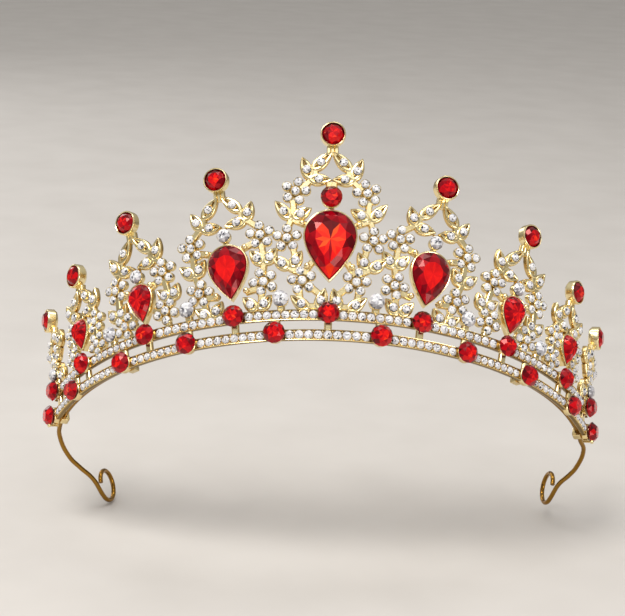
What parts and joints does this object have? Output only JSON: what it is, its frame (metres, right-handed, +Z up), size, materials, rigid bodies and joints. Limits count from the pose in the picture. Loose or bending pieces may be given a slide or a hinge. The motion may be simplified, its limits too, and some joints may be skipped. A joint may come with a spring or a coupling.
{
  "type": "tiara",
  "caption": "Arched openwork tiara: two stone-set rails, fan of spires with pear stones, and wire ends with hairpin eyelets.",
  "frame": {"origin": "front centre of the lower rail, at its bottom edge, on the side of the head", "axes": "+X to the right seen from the front, -Y towards the front, +Z up with the tiara tipped back 34 degrees as it is worn"},
  "size_m": [0.1592, 0.0553, 0.117],
  "materials": {
    "gold_plate": "polished pale gold plating over cast zinc alloy",
    "gold_wire": "gold-plated drawn wire, slightly darker than the cast metal",
    "red_glass": "faceted foil-backed ruby glass",
    "clear_glass": "faceted foil-backed clear glass"
  },
  "bodies": {
    "root": {"accent_stone_centre": "red_glass", "accent_stone_left_1": "clear_glass", "accent_stone_left_2": "clear_glass", "accent_stone_left_4": "clear_glass", "accent_stone_right_1": "clear_glass", "accent_stone_right_2": "clear_glass", "accent_stone_right_4": "clear_glass", "end_stone_left": "red_glass", "end_stone_right": "red_glass", "end_wire_left": "gold_wire", "end_wire_right": "gold_wire", "lower_rail": "gold_plate", "lower_rail_stone_left_1": "red_glass", "lower_rail_stone_left_2": "red_glass", "lower_rail_stone_left_3": "red_glass", "lower_rail_stone_left_4": "red_glass", "lower_rail_stone_right_1": "red_glass", "lower_rail_stone_right_2": "red_glass", "lower_rail_stone_right_3": "red_glass", "lower_rail_stone_right_4": "red_glass", "pear_stone_centre": "red_glass", "pear_stone_left_1": "red_glass", "pear_stone_left_2": "red_glass", "pear_stone_left_3": "red_glass", "pear_stone_right_1": "red_glass", "pear_stone_right_2": "red_glass", "pear_stone_right_3": "red_glass", "spire_centre": "gold_plate", "spire_left_1": "gold_plate", "spire_left_2": "gold_plate", "spire_left_3": "gold_plate", "spire_left_4": "gold_plate", "spire_right_1": "gold_plate", "spire_right_2": "gold_plate", "spire_right_3": "gold_plate", "spire_right_4": "gold_plate", "top_stone_centre": "red_glass", "top_stone_left_1": "red_glass", "top_stone_left_2": "red_glass", "top_stone_left_3": "red_glass", "top_stone_left_4": "red_glass", "top_stone_right_1": "red_glass", "top_stone_right_2": "red_glass", "top_stone_right_3": "red_glass", "top_stone_right_4": "red_glass", "upper_rail": "gold_plate", "upper_rail_stone_centre": "red_glass", "upper_rail_stone_left_1": "red_glass", "upper_rail_stone_left_2": "red_glass", "upper_rail_stone_left_3": "red_glass", "upper_rail_stone_left_4": "red_glass", "upper_rail_stone_right_1": "red_glass", "upper_rail_stone_right_2": "red_glass", "upper_rail_stone_right_3": "red_glass", "upper_rail_stone_right_4": "red_glass", "wire_clip_end_left": "gold_plate", "wire_clip_end_right": "gold_plate", "wire_clip_front_left": "gold_plate", "wire_clip_front_right": "gold_plate"}
  },
  "joints": []
}
